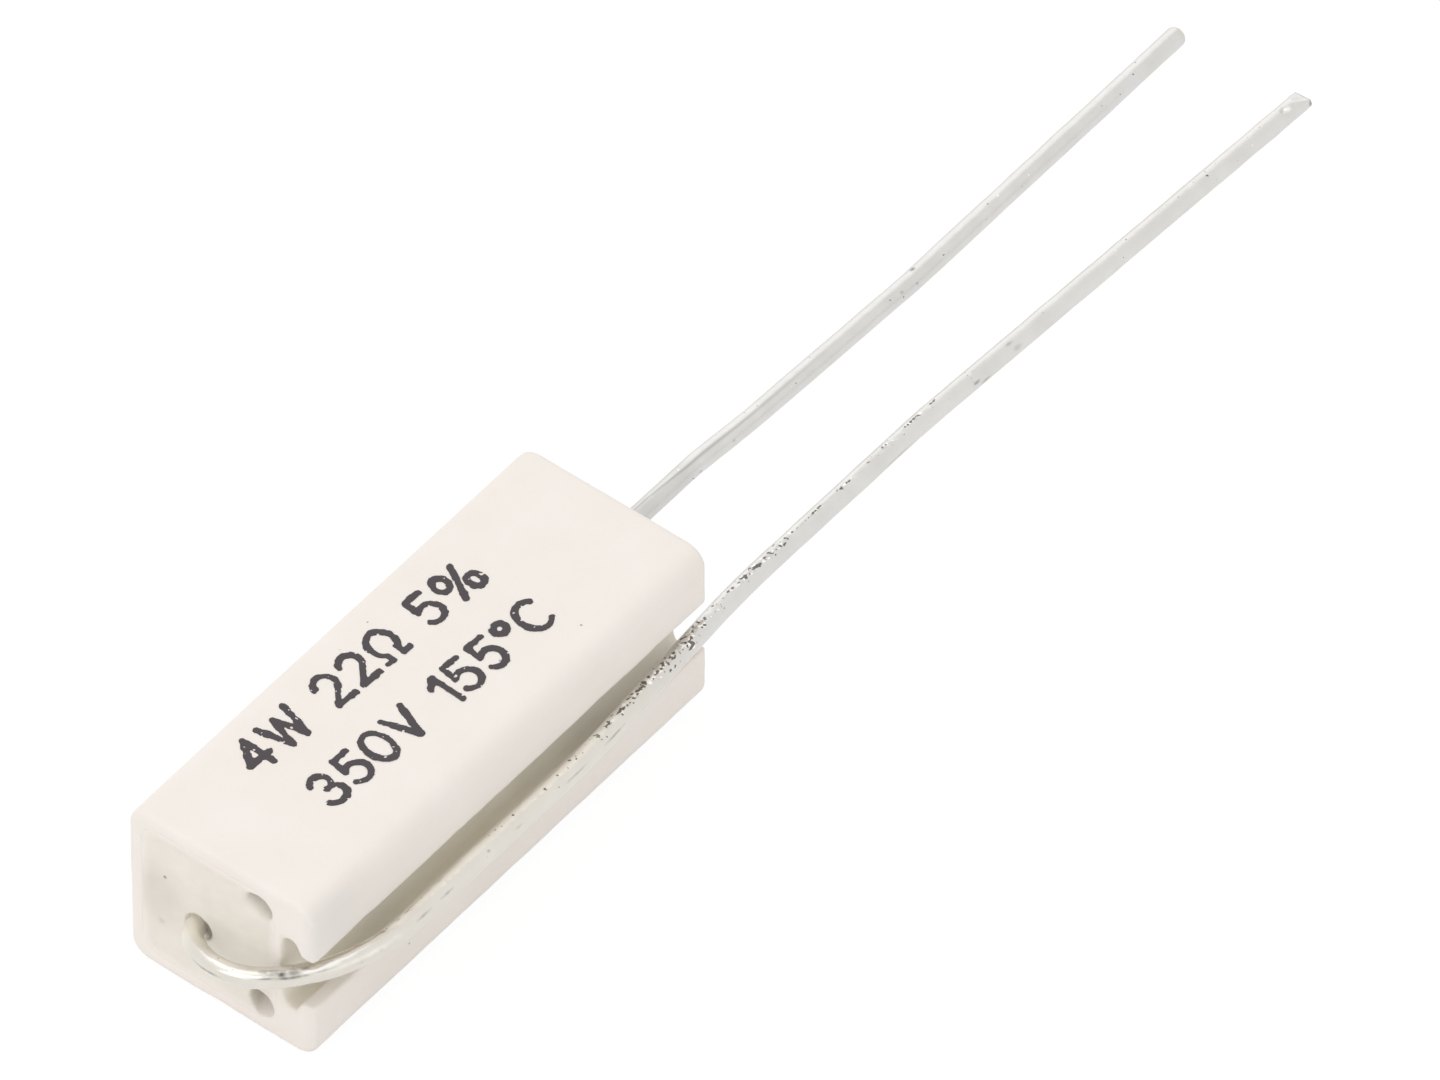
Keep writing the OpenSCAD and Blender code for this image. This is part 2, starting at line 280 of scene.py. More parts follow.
def make_piece(name, points, faces, slot_name):
    """New smooth mesh object in its slot's material, riding on the only body."""
    mesh = bpy.data.meshes.new(name)
    mesh.from_pydata((points * MM).tolist(), [], [list(map(int, face)) for face in faces])
    mesh.validate()
    mesh.polygons.foreach_set("use_smooth", [True] * len(mesh.polygons))
    mesh.materials.append(MATERIALS[slot_name])
    piece = bpy.data.objects.new(name, mesh)
    bpy.context.scene.collection.objects.link(piece)
    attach(piece, "root")
    return piece


def paint(piece, name, values):
    """Holds a value at each point of a piece, for its material to read by name."""
    attribute = piece.data.attributes.new(name, "FLOAT", "POINT")
    attribute.data.foreach_set("value", np.asarray(values, np.float32))


# Shader nodes

# Places of the colours among a Mix node's sockets
MIX_FIRST, MIX_SECOND, MIX_RESULT = 6, 7, 2


def new_material(name, colour, roughness, metallic=0.0):
    """New material, its node tree and its shader."""
    material = bpy.data.materials.new(name)
    material.use_nodes = True
    tree = material.node_tree
    shader = tree.nodes["Principled BSDF"]
    feed(tree, colour, shader.inputs["Base Color"])
    feed(tree, roughness, shader.inputs["Roughness"])
    feed(tree, metallic, shader.inputs["Metallic"])
    return material, tree, shader


def feed(tree, value, socket):
    """Links another socket to this one, or sets it to a colour or a number."""
    if isinstance(value, bpy.types.NodeSocket):
        tree.links.new(value, socket)
    elif isinstance(value, tuple):
        socket.default_value = (*value, 1)
    else:
        socket.default_value = value


def texture_node(tree, kind, cell_mm, shift_mm=0.0):
    """Texture in the part's frame whose cells are about cell_mm wide."""
    position = tree.nodes.new("ShaderNodeTexCoord")
    shift = tree.nodes.new("ShaderNodeMapping")
    shift.inputs["Location"].default_value = (shift_mm * MM,) * 3
    texture = tree.nodes.new(kind)
    texture.inputs["Scale"].default_value = 1 / (cell_mm * MM)
    feed(tree, position.outputs["Object"], shift.inputs["Vector"])
    feed(tree, shift.outputs["Vector"], texture.inputs["Vector"])
    return texture


def noise_value(tree, cell_mm, detail=2.0, shift_mm=0.0):
    """Noise from 0 to 1 with bumps about cell_mm wide."""
    noise = texture_node(tree, "ShaderNodeTexNoise", cell_mm, shift_mm)
    noise.inputs["Detail"].default_value = detail
    return noise.outputs["Fac"]


def painted(tree, name):
    """Value that the mesh holds at its points under this name."""
    node = tree.nodes.new("ShaderNodeAttribute")
    node.attribute_name = name
    return node.outputs["Fac"]


def remap(tree, value, low, high, to_low=0.0, to_high=1.0):
    """Value turned from one range into another and kept within it."""
    node = tree.nodes.new("ShaderNodeMapRange")
    for socket, given in (("Value", value), ("From Min", low), ("From Max", high),
                          ("To Min", to_low), ("To Max", to_high)):
        feed(tree, given, node.inputs[socket])
    return node.outputs["Result"]


def combine(tree, operation, first, second):
    """Result of a Math node on two values, each a socket or a number."""
    node = tree.nodes.new("ShaderNodeMath")
    node.operation = operation
    feed(tree, first, node.inputs[0])
    feed(tree, second, node.inputs[1])
    return node.outputs[0]


def mix_colour(tree, share, first, second):
    """Mix of two colours, each a socket or three numbers."""
    node = tree.nodes.new("ShaderNodeMix")
    node.data_type = "RGBA"
    feed(tree, share, node.inputs["Factor"])
    feed(tree, first, node.inputs[MIX_FIRST])
    feed(tree, second, node.inputs[MIX_SECOND])
    return node.outputs[MIX_RESULT]


def clouds(tree, colours, cell_mm):
    """Soft clouds of two colours."""
    share = remap(tree, noise_value(tree, cell_mm, detail=3), *CLOUD_RANGE)
    return mix_colour(tree, share, *colours)


def specks(tree, spacing_mm, size_mm):
    """Small round spots, 1 inside a spot and 0 outside."""
    cells = texture_node(tree, "ShaderNodeTexVoronoi", spacing_mm)
    edge = size_mm / spacing_mm
    return remap(tree, cells.outputs["Distance"], SPECK_CORE * edge, edge, 1, 0)


def specks_where(tree, density, size_mm, rare_level, shift_mm=0.0):
    """Irregular specks, 1 inside, which crowd where the density is near 1."""
    noise = noise_value(tree, size_mm, detail=1.0, shift_mm=shift_mm)
    level = remap(tree, density, 0, 1, rare_level, CROWDED_LEVEL)
    return remap(tree, combine(tree, "SUBTRACT", noise, level), 0, SPECK_EDGE)


def grain(tree, cell_mm, depth_mm):
    """Bump layer made of noise."""
    return noise_value(tree, cell_mm), depth_mm


def bump(tree, shader, *layers):
    """Stacks bump layers, each a height from 0 to 1 and its depth in mm."""
    last = None
    for height, depth_mm in layers:
        node = tree.nodes.new("ShaderNodeBump")
        node.inputs["Distance"].default_value = depth_mm * MM
        feed(tree, height, node.inputs["Height"])
        if last:
            feed(tree, last, node.inputs["Normal"])
        last = node.outputs["Normal"]
    feed(tree, last, shader.inputs["Normal"])


# Materials, each under the name of its slot

# Range of a noise's values that clouds are spread over
CLOUD_RANGE = (0.3, 0.7)
# Part of a round speck's radius that has its full colour
SPECK_CORE = 0.6
# Level of the noise above which crowded specks show, and how soft their edges are
CROWDED_LEVEL = 0.47
SPECK_EDGE = 0.03

CERAMIC_COLOUR = (0.895, 0.835, 0.78)
CERAMIC_CLOUDS = ((0.885, 0.822, 0.765), (0.905, 0.848, 0.797))
CERAMIC_SPECK_COLOUR = (0.45, 0.42, 0.38)
# Grey and olive dirt, which also paint shade on the grooved side and in the groove
SOOT_AND_SHADE_COLOUR = (0.55, 0.55, 0.51)
GRIME_AND_SHADE_COLOUR = (0.72, 0.71, 0.51)

CEMENT_COLOUR = (0.84, 0.795, 0.735)
CEMENT_CLOUDS = ((0.812, 0.765, 0.69), (0.858, 0.81, 0.735))
# Brown of the stains, which also paints shade in the voids and round the pocket
STAIN_AND_SHADE_COLOUR = (0.2, 0.18, 0.13)

TIN_COLOUR = (0.7, 0.685, 0.665)
TIN_CLOUDS = ((0.675, 0.66, 0.64), (0.725, 0.712, 0.695))
TARNISH_COLOUR = (0.6, 0.55, 0.42)
# Pale tin painted as highlights, and a cream coating that paints a highlight along the top
PAINTED_HIGHLIGHT_COLOUR = (0.95, 0.925, 0.88)
FILM_AND_HIGHLIGHT_COLOUR = (0.97, 0.925, 0.82)
FLECK_COLOUR = (0.99, 0.98, 0.95)
PIT_COLOUR = (0.19, 0.17, 0.145)
# Dark of the scuffs, which also paints reflections of the groove and contact shadow
SCUFF_AND_SHADE_COLOUR = (0.12, 0.11, 0.1)
TIN_ROUGHNESS = (0.3, 0.38)
POLISH_GLOSS = 0.26
FILM_AND_HIGHLIGHT_METALLIC = 0.1
PIT_DEPTH = 0.012

# Plain finishes: colour, roughness, metallic, and the grain's cell and depth in mm
PLAIN_FINISHES = {
    "core_ceramic": ((0.88, 0.87, 0.84), 0.7, 0.0, 0.1, 0.004),
    "resistance_wire": ((0.35, 0.34, 0.33), 0.4, 1.0, 0.1, 0.002),
    "marking_ink": ((0.072, 0.06, 0.066), 0.75, 0.0, 0.1, 0.004),
    "cap_metal": ((0.68, 0.68, 0.66), 0.35, 1.0, 0.2, 0.003),
}
# Darker of a plain finish's two tones, and the width of its clouds in grains
DARKER_TONE = 0.9
CLOUD_GRAINS = 4


def ceramic_material():
    """Unglazed off-white ceramic: cloudy, grainy, with a few dark specks, grey where the
    mesh holds grey dirt and painted shade, and olive where it holds olive dirt and painted
    shade."""
    material, tree, shader = new_material("case_ceramic", CERAMIC_COLOUR, roughness=0.8)
    colour = clouds(tree, CERAMIC_CLOUDS, cell_mm=2.5)
    spots = specks(tree, spacing_mm=1.9, size_mm=0.06)
    colour = mix_colour(tree, spots, colour, CERAMIC_SPECK_COLOUR)
    colour = mix_colour(tree, painted(tree, "soot_and_shade"), colour, SOOT_AND_SHADE_COLOUR)
    colour = mix_colour(tree, painted(tree, "grime_and_shade"), colour, GRIME_AND_SHADE_COLOUR)
    feed(tree, colour, shader.inputs["Base Color"])
    bump(tree, shader, grain(tree, cell_mm=0.5, depth_mm=0.02),
         grain(tree, cell_mm=0.09, depth_mm=0.006))
    return material


def cement_material():
    """Cement, greyer and coarser than the case, thin and pale where it laps the case's
    rim, with painted brown stains and painted shade in its voids and round the lead's pocket."""
    material, tree, shader = new_material("cement", CEMENT_COLOUR, roughness=0.85)
    colour = clouds(tree, CEMENT_CLOUDS, cell_mm=1.2)
    colour = mix_colour(tree, painted(tree, "rim"), colour, CERAMIC_COLOUR)
    colour = mix_colour(tree, painted(tree, "stain_and_shade"), colour, STAIN_AND_SHADE_COLOUR)
    feed(tree, colour, shader.inputs["Base Color"])
    bump(tree, shader, grain(tree, cell_mm=0.35, depth_mm=0.03),
         grain(tree, cell_mm=0.1, depth_mm=0.012))
    return material


def lead_material():
    """Hot-dipped tin. The mesh says where it is crusted, polished or tarnished, where pale
    tin is painted as highlights, where it has a pale coating, which is hardly metallic and
    along the top paints a highlight, and where it has dark scuffs, partly painted shade."""
    material, tree, shader = new_material("tinned_lead", TIN_COLOUR, roughness=0.4,
                                          metallic=1.0)
    film_and_highlight = painted(tree, "film_and_highlight")
    crust = painted(tree, "crust")
    flecks = specks_where(tree, crust, size_mm=0.2, rare_level=0.8, shift_mm=7.0)
    pits = specks_where(tree, crust, size_mm=0.16, rare_level=0.77)
    colour = clouds(tree, TIN_CLOUDS, cell_mm=1.1)
    for share, coat in ((painted(tree, "tarnish"), TARNISH_COLOUR),
                        (painted(tree, "painted_highlight"), PAINTED_HIGHLIGHT_COLOUR), (film_and_highlight, FILM_AND_HIGHLIGHT_COLOUR),
                        (flecks, FLECK_COLOUR), (pits, PIT_COLOUR),
                        (painted(tree, "scuff_and_shade"), SCUFF_AND_SHADE_COLOUR)):
        colour = mix_colour(tree, share, colour, coat)
    feed(tree, colour, shader.inputs["Base Color"])
    dull = remap(tree, noise_value(tree, cell_mm=0.3), *CLOUD_RANGE, *TIN_ROUGHNESS)
    gloss = remap(tree, painted(tree, "polish"), 0, 1, 0, -POLISH_GLOSS)
    feed(tree, combine(tree, "ADD", dull, gloss), shader.inputs["Roughness"])
    feed(tree, remap(tree, film_and_highlight, 0, 1, 1, FILM_AND_HIGHLIGHT_METALLIC), shader.inputs["Metallic"])
    bump(tree, shader, grain(tree, cell_mm=0.4, depth_mm=0.012), (pits, -PIT_DEPTH))
    return material


def plain_material(name, colour, roughness, metallic, grain_mm, depth_mm):
    """Plain finish: a colour with faint clouds and a fine grain."""
    material, tree, shader = new_material(name, colour, roughness, metallic)
    darker = tuple(DARKER_TONE * c for c in colour)
    mixed = mix_colour(tree, noise_value(tree, CLOUD_GRAINS * grain_mm), darker, colour)
    feed(tree, mixed, shader.inputs["Base Color"])
    bump(tree, shader, grain(tree, grain_mm, depth_mm))
    return material


MATERIALS = {"case_ceramic": ceramic_material(), "cement": cement_material(),
             "tinned_lead": lead_material()}
for finish_name, finish in PLAIN_FINISHES.items():
    MATERIALS[finish_name] = plain_material(finish_name, *finish)


def dress_nodes():
    """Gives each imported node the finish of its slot."""
    for part in frame["record"]["subparts"]:
        piece, slot_name = frame["nodes"][part["node"]], part["material_slot"]
        piece.data.materials.clear()
        piece.data.materials.append(MATERIALS[slot_name])


# Case

def groove_field(y, up):
    """Undercut groove behind two lips, negative inside, drawn in the case's section."""
    height = np.abs(up)
    lip_run, lip_rise = LIP_ROOT - LIP_EDGE, (GROOVE_INNER - GROOVE_MOUTH) / 2
    lip_length = math.hypot(lip_run, lip_rise)
    past_lip = (lip_run * (height - GROOVE_MOUTH / 2)
                - lip_rise * (y + HALF_WIDTH - LIP_EDGE)) / lip_length
    mouth = np.maximum(y - GROOVE_BACK, height - GROOVE_MOUTH / 2)
    inner = smooth_max(y - GROOVE_BACK, height - GROOVE_INNER / 2, GROOVE_CORNER_ROUNDING)
    inner = smooth_max(inner, past_lip, LIP_BACK_ROUNDING)
    return smooth_min(mouth, inner, LIP_EDGE_ROUNDING)


def cavity_field(y, up):
    """Cavity that the cement fills, negative inside, drawn in the case's section."""
    return rounded_box(y - (CAVITY_LOW + CAVITY_HIGH) / 2, up, CAVITY_HIGH - CAVITY_LOW,
                       CASE_HEIGHT - 2 * CASE_WALL, CAVITY_RADIUS)


def case_field(points):
    """Case, negative inside, with softened edges and an uneven skin."""
    x, y, z = np.moveaxis(points, -1, 0)
    up = z - MIDDLE_HEIGHT
    section = rounded_box(y, up, CASE_WIDTH, CASE_HEIGHT, EDGE_RADIUS)
    field = smooth_max(section, np.abs(x) - HALF_LENGTH, END_ROUNDING)
    field = smooth_max(field, -groove_field(y, up), MOUTH_ROUNDING)
    near = np.abs(field) < CERAMIC_SKIN
    field[near] += CERAMIC_SHRINK + layered_noise(points[near], CERAMIC_BUMPS)
    return smooth_max(field, -cavity_field(y, up), CAVITY_ROUNDING)


# Dirt and painted shade deep in the groove: where they start behind the side face and how
# soon they are full, and how far past the groove's walls a point still counts as in it
DIRT_AND_SHADE_START, DIRT_AND_SHADE_GROWTH = 0.6, 0.35
DIRT_AND_SHADE_BACK_MARGIN, DIRT_AND_SHADE_SIDE_MARGIN = 0.12, 0.1
# Olive and grey dirt along the groove, both with painted shade, as stops of x and strength
GROOVE_GRIME_AND_SHADE = ((-11, 0.25), (-9, 0.45), (-5, 0.35), (-2, 0.45), (3, 0.3), (8, 0.2))
GROOVE_SOOT_AND_SHADE = ((-9, 0), (-6, 0.25), (-3, 0.05), (1, 0.05), (5, 0.5), (9, 0.45), (11, 0.2))
# Grey dirt and painted shade on the side face beside the groove, and a patch of painted
# shadow above its near end
SIDE_SOOT_AND_SHADE = 0.135
SIDE_SOOT_AND_SHADE_DEPTH, SIDE_SOOT_AND_SHADE_FADE = 0.55, 0.45
SIDE_SOOT_AND_SHADE_GAP, SIDE_SOOT_AND_SHADE_EDGE = 0.05, 0.1
NEAR_PATCH_SHADOW, NEAR_PATCH_X, NEAR_PATCH_SPREAD = 0.2, -9.7, 1.5


def groove_dirt_and_shade(points):
    """1 deep in the groove, falling to 0 at its lips: where dirt and painted shade lie."""
    _, y, z = points.T
    height = np.abs(z - MIDDLE_HEIGHT)
    in_groove = ((y < GROOVE_BACK + DIRT_AND_SHADE_BACK_MARGIN)
                 & (height < GROOVE_INNER / 2 + DIRT_AND_SHADE_SIDE_MARGIN))
    return rising(y + HALF_WIDTH, DIRT_AND_SHADE_START, DIRT_AND_SHADE_GROWTH) * in_groove


def case_grime_and_shade(points):
    """Olive dirt in the groove, with painted shade where it is deep, least at its far end."""
    strength = groove_dirt_and_shade(points) * profile(points[:, 0], GROOVE_GRIME_AND_SHADE)
    return strength * mottle(points, depth=0.2, cell=1.3, seed=13)


def case_soot_and_shade(points):
    """Grey dirt and painted shade on the grooved side and in the groove, more of it towards the
    groove's ends, and a patch of painted shadow above the near end.
    """
    x, y, z = points.T
    beside = rising(np.abs(z - MIDDLE_HEIGHT), GROOVE_MOUTH / 2 + SIDE_SOOT_AND_SHADE_GAP, SIDE_SOOT_AND_SHADE_EDGE)
    patch = NEAR_PATCH_SHADOW * bell(x, NEAR_PATCH_X, NEAR_PATCH_SPREAD) * (z > MIDDLE_HEIGHT)
    on_side = rising(-y - HALF_WIDTH, -SIDE_SOOT_AND_SHADE_DEPTH, SIDE_SOOT_AND_SHADE_FADE)
    side = (SIDE_SOOT_AND_SHADE + patch) * on_side * beside
    groove = groove_dirt_and_shade(points) * profile(x, GROOVE_SOOT_AND_SHADE)
    return np.maximum(side, groove) * mottle(points, depth=0.15, cell=2.1, seed=14)


def make_case():
    """Case, sampled finely at its ends and round the groove."""
    margin, zone, below_groove = 0.15, 0.6, 1.7
    end_step, middle_step = 0.07, 0.2
    groove_step, plain_step, face_step = 0.085, 0.14, 0.12
    axes = (stepped_axis(-HALF_LENGTH - margin, (-HALF_LENGTH + zone, end_step),
                         (HALF_LENGTH - zone, middle_step), (HALF_LENGTH + margin, end_step)),
            stepped_axis(-HALF_WIDTH - margin, (GROOVE_BACK + zone, groove_step),
                         (HALF_WIDTH + margin, plain_step)),
            stepped_axis(-margin, (below_groove, face_step),
                         (CASE_HEIGHT - below_groove, groove_step),
                         (CASE_HEIGHT + margin, face_step)))
    points, faces = surface_mesh(case_field(grid(axes)), axes)
    case = make_piece("case", points, faces, "case_ceramic")
    paint(case, "grime_and_shade", case_grime_and_shade(points))
    paint(case, "soot_and_shade", case_soot_and_shade(points))
    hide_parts("ceramic_case")


# Cement

def void_fields(x, y, up, wall, ragged):
    """Each void, negative inside, with the rounding of its edge."""
    for level in (-1, 1):
        across = y - CAVITY_LOW - VOID_INSET
        rise = up - level * (MIDDLE_HEIGHT - CASE_WALL - VOID_INSET)
        slope = level * VOID_SLANT_ACROSS * across - VOID_SLANT_UP * rise
        depth = profile(slope, ((-VOID_RADIUS, VOID_DEPTH), (VOID_RADIUS, VOID_SHALLOW_DEPTH)))
        void = smooth_max(np.hypot(across, rise) - VOID_RADIUS, x + HALF_LENGTH - depth,
                          VOID_FLOOR_ROUNDING)
        by_wall = np.clip(-wall / VOID_WALL_ZONE, VOID_WALL_ROUNDING, 1)
        yield void + VOID_RAGGEDNESS * ragged, profile(slope, VOID_EDGE_ROUNDING) * by_wall


def cement_field(points):
    """Cement, negative inside, with uneven ends and room for the element."""
    x, y, z = np.moveaxis(points, -1, 0)
    up = z - MIDDLE_HEIGHT
    wall = cavity_field(y, up)
    inward = rising(-wall, 0, DIP_WIDTH)
    face = np.abs(x) - HALF_LENGTH + RIM_RECESS + (CEMENT_RECESS - RIM_RECESS) * inward
    face += layered_noise(points, CEMENT_BUMPS) * (RIM_BUMPS + (1 - RIM_BUMPS) * inward)
    face += LAP_SLOPE * np.maximum(wall, 0)
    lap = CEMENT_LAP * falling(HALF_LENGTH - np.abs(x), LAP_DEPTH)
    field = np.maximum(wall - lap, face)
    ragged = RAGGED_DEPTH * smooth_noise(points, cell=0.45, seed=21)
    for void, rounding in void_fields(x, y, up, wall, ragged):
        field = smooth_max(field, -void, rounding)
    pocket = np.maximum(np.hypot(y - AXIS_Y + POCKET_SHIFT, z - AXIS_Z) - POCKET_RADIUS,
                        x + HALF_LENGTH - POCKET_DEPTH) + POCKET_RAGGEDNESS * ragged
    field = smooth_max(field, -pocket, POCKET_ROUNDING)
    room = np.maximum(np.hypot(y - AXIS_Y, z - AXIS_Z) - ELEMENT_ROOM_RADIUS,
                      np.abs(x) - CAP_FACE)
    return np.maximum(field, -room)


# Stains on the cement's near end: y, z, radius and strength
STAINS = ((2.62, 4.88, 0.05, 0.9), (2.8, 2.47, 0.14, 0.2), (2.5, 3.3, 1.1, 0.06),
          (2.9, 3.9, 1.2, 0.15))
STAIN_REACH = 1.5
STAIN_RAGGEDNESS = 0.05
# Painted shade in the voids, and where it starts below the end and over what depth it grows
VOID_SHADE, VOID_SHADE_START, VOID_SHADE_GROWTH = 0.2, 0.15, 0.3
# Crescent of painted shadow round the pocket, as stops of the angle about its middle and
# strength
CRESCENT_SHADOW = ((10, 0), (60, 0.25), (110, 0.45), (150, 0.8), (205, 0.8), (230, 0.5), (255, 0))
CRESCENT_MARGIN, CRESCENT_FADE = 0.1, 0.06
RING_STRENGTH, RING_WIDTH, RING_REACH = 0.6, 0.07, 1.4
STAIN_DEPTH_MARGIN = 0.1
RIM_ZONE = 0.3


def cement_stain_and_shade(points):
    """Brown stains, painted shade in the voids and a crescent of painted shadow round the pocket at
    the near end.
    """
    x, y, z = points.T
    depth = x + HALF_LENGTH
    stain_and_shade = VOID_SHADE * rising(depth, VOID_SHADE_START, VOID_SHADE_GROWTH)
    edge = STAIN_RAGGEDNESS * smooth_noise(points, cell=0.2, seed=24)
    for spot_y, spot_z, radius, strength in STAINS:
        gap = np.hypot(y - spot_y, z - spot_z) + edge
        stain_and_shade = np.maximum(stain_and_shade, strength * falling(gap, radius, STAIN_REACH))
    across, rise = y - AXIS_Y + POCKET_SHIFT, z - AXIS_Z
    reach = np.hypot(across, rise)
    in_pocket = reach < POCKET_RADIUS + CRESCENT_MARGIN
    hollow = rising(depth, CEMENT_RECESS, CRESCENT_FADE) * in_pocket
    ring = RING_STRENGTH * falling(np.abs(reach - POCKET_RADIUS), RING_WIDTH, RING_REACH)
    angle = np.degrees(np.arctan2(rise, across)) % 360
    crescent = np.maximum(hollow, ring) * profile(angle, CRESCENT_SHADOW)
    return np.maximum(stain_and_shade, crescent) * (depth < VOID_DEPTH + STAIN_DEPTH_MARGIN)


def cement_rim(points):
    """1 where the cement laps the case's rim, falling to 0 a little inside it."""
    return falling(-cavity_field(points[:, 1], points[:, 2] - MIDDLE_HEIGHT), RIM_ZONE)


def make_cement():
    """Cement, sampled finely at its near end and down to the voids' floors."""
    margin, face_zone, void_zone, far_zone = 0.05, 0.9, 2.1, 0.4
    face_step, void_step, middle_step, far_step, side_step = 0.05, 0.12, 0.5, 0.07, 0.06
    axes = (stepped_axis(-HALF_LENGTH - margin, (-HALF_LENGTH + face_zone, face_step),
                         (-HALF_LENGTH + void_zone, void_step),
                         (HALF_LENGTH - far_zone, middle_step),
                         (HALF_LENGTH + margin, far_step)),
            stepped_axis(CAVITY_LOW - CEMENT_LAP, (CAVITY_HIGH + CEMENT_LAP, side_step)),
            stepped_axis(CASE_WALL - CEMENT_LAP,
                         (CASE_HEIGHT - CASE_WALL + CEMENT_LAP, side_step)))
    points, faces = surface_mesh(cement_field(grid(axes)), axes)
    cement = make_piece("cement", points, faces, "cement")
    paint(cement, "stain_and_shade", cement_stain_and_shade(points))
    paint(cement, "rim", cement_rim(points))
    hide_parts("cement_fill")


# Leads

# Each lead is described as a wire former bends it: a run is (length, 0) for a straight
# stretch or (radius, turn) for a bend, with turns to the left positive, in degrees.
LOOP_START_DEPTH = 0.37
LOOP_FIRST_RADIUS, LOOP_FIRST_TURN = 1.2, 55
LOOP_MIDDLE_TURN = 70
LOOP_LAST_RADIUS = 5.7
LEAD_PROUD = 0.9
GROOVE_LEAD_HEIGHT = 4.35
HAND_BEND_RADIUS = 40
# Return lead: leans inwards this far before the case's far end, then back, then splays
LEAN_START, LEAN_TURN = 9.9, 5.1
LEAN_LENGTH, LEAN_BACK_TURN = 6, -5.4
SPLAY_AFTER, SPLAY_TURN = 7.6, -2.7
# Straight lead: a slight kink this far past the case, then two slow bends
KINK_AFTER, KINK_RADIUS, KINK_TURN = 5.5, 15, -4.5
FIRST_BEND_AFTER, FIRST_BEND_TURN = 1.4, 2.4
SECOND_BEND_AFTER, SECOND_BEND_TURN = 7.2, 2.1

CROPPED_LENGTH = 0.65
CROPPED_THICKNESS = 0.3
TIP_RADIUS = 0.25
WELD_RADIUS = 0.65
WELD_LENGTH = 0.35
WIRE_SIDES = 60
WIRE_STEP = 0.055
COARSE_STEP = 1.0

loop_reach = AXIS_Y + HALF_WIDTH + LEAD_PROUD
loop_rise = GROOVE_LEAD_HEIGHT - AXIS_Z
LOOP_SPAN = math.hypot(loop_reach, loop_rise)
# Tilt of the loop's plane about the element's axis, in radians
LOOP_TILT = math.atan2(loop_rise, loop_reach)


def walk(runs, x, heading, step):
    """Points along a bent wire in its own plane, as x, y and heading, step apart."""
    points = [(x, 0.0, heading)]
    for size, turn in runs:
        x, y, heading = points[-1]
        length = size if turn == 0 else size * math.radians(abs(turn))
        count = max(1, round(length / step))
        for i in range(1, count + 1):
            if turn == 0:
                along = size * i / count
                points.append((x + along * math.cos(math.radians(heading)),
                               y + along * math.sin(math.radians(heading)), heading))
                continue
            side = math.copysign(size, turn)
            start, now = math.radians(heading), math.radians(heading + turn * i / count)
            points.append((x + side * (math.sin(now) - math.sin(start)),
                           y - side * (math.cos(now) - math.cos(start)),
                           heading + turn * i / count))
    return points


def to_full_reach(runs, x, heading, reach):
    """Adds the last straight stretch, which ends at the lead's full reach."""
    end_x, _, end_heading = walk(runs, x, heading, COARSE_STEP)[-1]
    rest = (HALF_LENGTH + reach - end_x) / math.cos(math.radians(end_heading))
    return [*runs, (rest, 0)]


def straight_lead_runs():
    """Runs of the lead that leaves the far end."""
    runs = [(HALF_LENGTH - CAP_FACE + KINK_AFTER, 0), (KINK_RADIUS, KINK_TURN),
            (FIRST_BEND_AFTER, 0), (HAND_BEND_RADIUS, FIRST_BEND_TURN),
            (SECOND_BEND_AFTER, 0), (HAND_BEND_RADIUS, SECOND_BEND_TURN)]
    return to_full_reach(runs, CAP_FACE, 0, LEAD_REACH)


def return_lead_runs():
    """Runs of the lead that loops round the near end and back along the groove."""
    last_turn = 180 - LOOP_FIRST_TURN - LOOP_MIDDLE_TURN
    first, last = math.radians(LOOP_FIRST_TURN), math.radians(last_turn)
    middle_radius = (LOOP_SPAN - LOOP_FIRST_RADIUS * (1 - math.cos(first))
                     - LOOP_LAST_RADIUS * (1 - math.cos(last))) / (math.cos(first) + math.cos(last))
    loop = [(HALF_LENGTH - CAP_FACE - LOOP_START_DEPTH, 0),
            (LOOP_FIRST_RADIUS, LOOP_FIRST_TURN), (middle_radius, LOOP_MIDDLE_TURN),
            (LOOP_LAST_RADIUS, last_turn)]
    loop_end_x = walk(loop, -CAP_FACE, 180, COARSE_STEP)[-1][0]
    runs = [*loop, (HALF_LENGTH - LEAN_START - loop_end_x, 0), (HAND_BEND_RADIUS, LEAN_TURN),
            (LEAN_LENGTH, 0), (HAND_BEND_RADIUS, LEAN_BACK_TURN),
            (SPLAY_AFTER, 0), (HAND_BEND_RADIUS, SPLAY_TURN)]
    return to_full_reach(runs, -CAP_FACE, 180, RETURN_LEAD_REACH)


# A place on a lead is given by the distance along it from the weld, in mm, and the
# angle round it, in degrees: nought is to the left of the heading and 90 is on top.

